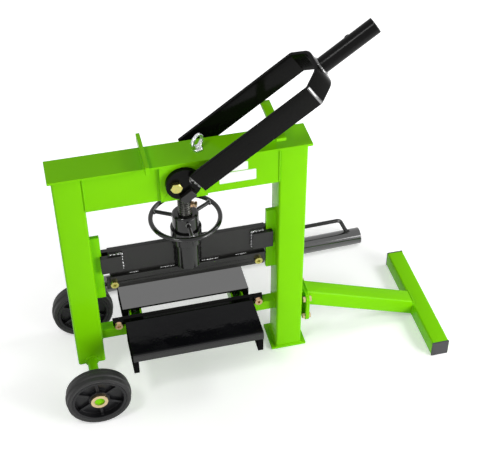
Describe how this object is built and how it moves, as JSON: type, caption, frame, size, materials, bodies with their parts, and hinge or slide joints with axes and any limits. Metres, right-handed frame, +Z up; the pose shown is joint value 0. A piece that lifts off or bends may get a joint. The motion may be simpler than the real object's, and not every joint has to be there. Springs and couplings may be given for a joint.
{
  "type": "masonry block splitter",
  "caption": "Portal-frame block splitter: a forked lever presses a height-adjustable upper blade on a screw spindle onto a lower blade between two tables, on wheels and a bolted foot.",
  "frame": {"origin": "on the floor, midway between the two posts, in the plane of the blades", "axes": "+X along the blades towards the foot, +Y away from the operator, +Z up"},
  "size_m": [0.8794, 0.4516, 0.8349],
  "materials": {
    "green_paint": "glossy lime green powder coat",
    "black_paint": "semi-gloss black powder coat",
    "yellow_zinc": "yellow passivated zinc",
    "bright_zinc": "bright zinc plate",
    "oiled_steel": "dark oiled steel",
    "black_rubber": "matte black rubber",
    "black_plastic": "moulded black plastic"
  },
  "bodies": {
    "frame": {"left_post": "green_paint", "right_post": "green_paint", "base_plate": "green_paint", "beam_front_plate": "green_paint", "beam_rear_plate": "green_paint", "top_plate": "green_paint", "head_cheeks": "green_paint", "left_guide": "green_paint", "right_guide": "green_paint", "cross_bar": "green_paint", "blade_lugs": "black_paint", "lower_blade": "black_paint", "lower_blade_bolts": "yellow_zinc", "table_consoles": "green_paint", "front_table_springs": "oiled_steel", "rear_table_springs": "oiled_steel", "pivot_bolt": "yellow_zinc", "left_rest": "green_paint", "right_rest": "green_paint", "rest_upright": "green_paint", "lifting_eye": "bright_zinc", "axle": "green_paint", "axle_collars": "yellow_zinc", "post_flange": "green_paint", "foot_flange": "green_paint", "foot_leg": "green_paint", "foot_bar": "green_paint", "foot_caps": "black_plastic", "foot_bolts": "yellow_zinc"},
    "lever": {"lever_fork": "black_paint", "lever_discs": "black_paint", "lever_stub_tube": "black_paint", "crosshead_pin": "oiled_steel", "pin_keepers": "black_paint"},
    "spindle": {"spindle": "oiled_steel", "crosshead": "oiled_steel", "stop_screw": "yellow_zinc"},
    "upper_beam": {"upper_plate": "black_paint", "blade_holder": "black_paint", "upper_blade": "black_paint", "upper_blade_bolts": "yellow_zinc", "guide_blocks": "black_paint", "spindle_socket": "black_paint", "nut_collar": "black_paint", "nut_screws": "yellow_zinc"},
    "handwheel": {"handwheel_nut": "black_paint", "handwheel_rim": "black_paint"},
    "front_wheel": {"front_tyre": "black_rubber", "front_rim": "black_plastic"},
    "rear_wheel": {"rear_tyre": "black_rubber", "rear_rim": "black_plastic"},
    "front_table": {"front_table": "black_paint", "front_table_sides": "black_paint", "front_table_bolts": "yellow_zinc"},
    "rear_table": {"rear_table": "black_paint", "rear_table_sides": "black_paint", "rear_table_bolts": "yellow_zinc"},
    "extension": {"extension_tube": "black_paint", "extension_grip": "black_paint"}
  },
  "joints": [
    {"name": "lever_swing", "type": "hinge", "parent": "frame", "child": "lever", "pos_m": [-0.0181, 0, 0.5436], "axis": [0, -1, 0], "range_deg": [0, 84]},
    {"name": "spindle_lift", "type": "slide", "parent": "frame", "child": "spindle", "axis": [0, 0, 1], "range_m": [0, 0.0453]},
    {"name": "beam_adjust", "type": "slide", "parent": "spindle", "child": "upper_beam", "axis": [0, 0, 1], "range_m": [-0.0701, 0.0081]},
    {"name": "handwheel_turn", "type": "hinge", "parent": "upper_beam", "child": "handwheel", "pos_m": [0.00494, 0, 0.42], "axis": [0, 0, 1], "range_deg": [-4200, 480]},
    {"name": "front_wheel_spin", "type": "hinge", "parent": "frame", "child": "front_wheel", "pos_m": [-0.2274, -0.134, 0.071], "axis": [0, 1, 0], "continuous": true},
    {"name": "rear_wheel_spin", "type": "hinge", "parent": "frame", "child": "rear_wheel", "pos_m": [-0.2274, 0.134, 0.071], "axis": [0, 1, 0], "continuous": true},
    {"name": "front_table_press", "type": "slide", "parent": "frame", "child": "front_table", "axis": [0, 0, 1], "range_m": [-0.006, 0], "stiffness_N_per_m": 4000, "springref_m": 0.015, "deforming": ["front_table_springs"]},
    {"name": "rear_table_press", "type": "slide", "parent": "frame", "child": "rear_table", "axis": [0, 0, 1], "range_m": [-0.006, 0], "stiffness_N_per_m": 4000, "springref_m": 0.015, "deforming": ["rear_table_springs"]},
    {"name": "extension_pick_up", "type": "slide", "parent": "frame", "child": "extension", "axis": [0, 0, 1], "range_m": [0, 0.3]}
  ],
  "couplings": [
    {"joint": "spindle_lift", "follows": "lever_swing", "m_per_rad": 0.030849},
    {"joint": "beam_adjust", "follows": "handwheel_turn", "m_per_rad": 0.00095493}
  ]
}
